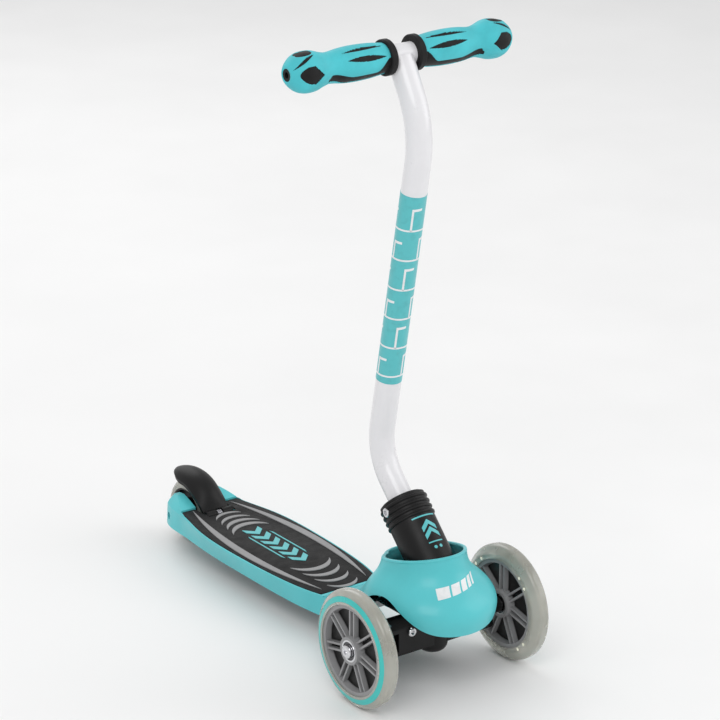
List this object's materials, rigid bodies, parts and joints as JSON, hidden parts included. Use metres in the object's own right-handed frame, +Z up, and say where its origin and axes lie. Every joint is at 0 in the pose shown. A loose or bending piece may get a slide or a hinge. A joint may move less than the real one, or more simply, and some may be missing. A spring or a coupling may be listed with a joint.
{
  "type": "kick scooter",
  "caption": "Child's lean-to-steer kick scooter: two wheels at the front, one at the rear, low deck with grip pad, bent stem, T handlebar and rear foot brake.",
  "frame": {"origin": "on the ground beneath the middle of the scooter", "axes": "+X to the rider's left, -Y towards the front, +Z up"},
  "size_m": [0.256, 0.5277, 0.6403],
  "materials": {
    "teal_shell": "gloss",
    "clear_tyre": "satin",
    "teal_ring": "gloss",
    "grey_rim": "satin",
    "lights": "gloss",
    "teal_grip": "matte",
    "black_rubber": "matte",
    "grey_rubber": "matte",
    "teal_print": "satin",
    "white_paint": "gloss",
    "black_plastic": "satin",
    "black_steel": "satin",
    "bright_steel": "satin"
  },
  "bodies": {
    "deck": {"deck_shell": "teal_shell", "front_cowl": "teal_shell", "grip_pad": "black_rubber", "grip_strips": "grey_rubber", "deck_badge": "teal_print", "deck_screws": "bright_steel", "under_frame": "black_steel", "axle_beam": "black_plastic", "beam_bolts": "bright_steel", "kingpin_left": "bright_steel", "kingpin_right": "bright_steel", "column_pivot_pin": "bright_steel", "centring_spring": "bright_steel", "lean_stops": "black_rubber", "rear_axle_bolt": "bright_steel", "rear_axle_nut": "bright_steel", "rear_axle_washers": "bright_steel", "brake_hinge_pin": "bright_steel", "brake_spring": "bright_steel"},
    "column": {"stem_socket": "black_plastic", "stem_bolt": "bright_steel", "stem_nut": "bright_steel", "stem_tube": "white_paint", "stem_wrap": "teal_print", "handlebar_tube": "white_paint", "steering_peg": "bright_steel", "grip_core_left": "black_rubber", "grip_core_right": "black_rubber", "grip_skin_left": "teal_grip", "grip_skin_right": "teal_grip"},
    "tie_rod": {"tie_rod": "black_plastic"},
    "wheel_rear": {"rear_tyre": "clear_tyre", "rear_core": "black_plastic", "rear_bearings": "bright_steel", "rear_spacer": "bright_steel"},
    "brake": {"brake_fender": "black_plastic", "brake_shoe": "black_rubber"},
    "knuckle_left": {"knuckle_left": "black_plastic", "stub_axle_left": "bright_steel", "arm_pin_left": "bright_steel"},
    "wheel_front_left": {"front_tyre_left": "clear_tyre", "front_ring_left": "teal_ring", "front_rim_left": "grey_rim", "front_bearings_left": "bright_steel", "front_spacer_left": "bright_steel", "front_lights_left": "lights"},
    "knuckle_right": {"knuckle_right": "black_plastic", "stub_axle_right": "bright_steel", "arm_pin_right": "bright_steel"},
    "wheel_front_right": {"front_tyre_right": "clear_tyre", "front_ring_right": "teal_ring", "front_rim_right": "grey_rim", "front_bearings_right": "bright_steel", "front_spacer_right": "bright_steel", "front_lights_right": "lights"}
  },
  "joints": [
    {"name": "column_tilt", "type": "hinge", "parent": "deck", "child": "column", "pos_m": [0, -0.2, 0.092], "axis": [0, 1, 0], "range_deg": [-12, 12], "stiffness_Nm_per_rad": 30, "deforming": ["centring_spring"]},
    {"name": "tie_rod_slide", "type": "slide", "parent": "deck", "child": "tie_rod", "axis": [1, 0, 0], "range_m": [-0.0075, 0.0075]},
    {"name": "steer_left", "type": "hinge", "parent": "deck", "child": "knuckle_left", "pos_m": [0.06, -0.2, 0.058], "axis": [0, 0, 1], "range_deg": [-15.2, 15.2]},
    {"name": "steer_right", "type": "hinge", "parent": "deck", "child": "knuckle_right", "pos_m": [-0.06, -0.2, 0.058], "axis": [0, 0, 1], "range_deg": [-15.2, 15.2]},
    {"name": "spin_front_left", "type": "hinge", "parent": "knuckle_left", "child": "wheel_front_left", "pos_m": [0.092, -0.2, 0.06], "axis": [1, 0, 0], "continuous": true},
    {"name": "spin_front_right", "type": "hinge", "parent": "knuckle_right", "child": "wheel_front_right", "pos_m": [-0.092, -0.2, 0.06], "axis": [1, 0, 0], "continuous": true},
    {"name": "spin_rear", "type": "hinge", "parent": "deck", "child": "wheel_rear", "pos_m": [0, 0.231, 0.035], "axis": [1, 0, 0], "continuous": true},
    {"name": "brake_press", "type": "hinge", "parent": "deck", "child": "brake", "pos_m": [0, 0.183, 0.046], "axis": [-1, 0, 0], "range_deg": [0, 3], "stiffness_Nm_per_rad": 6, "springref_deg": -8.59, "deforming": ["brake_spring"]}
  ],
  "couplings": [
    {"joint": "tie_rod_slide", "follows": "column_tilt", "m_per_rad": -0.035},
    {"joint": "steer_left", "follows": "column_tilt", "ratio": 1.25},
    {"joint": "steer_right", "follows": "column_tilt", "ratio": 1.25}
  ]
}
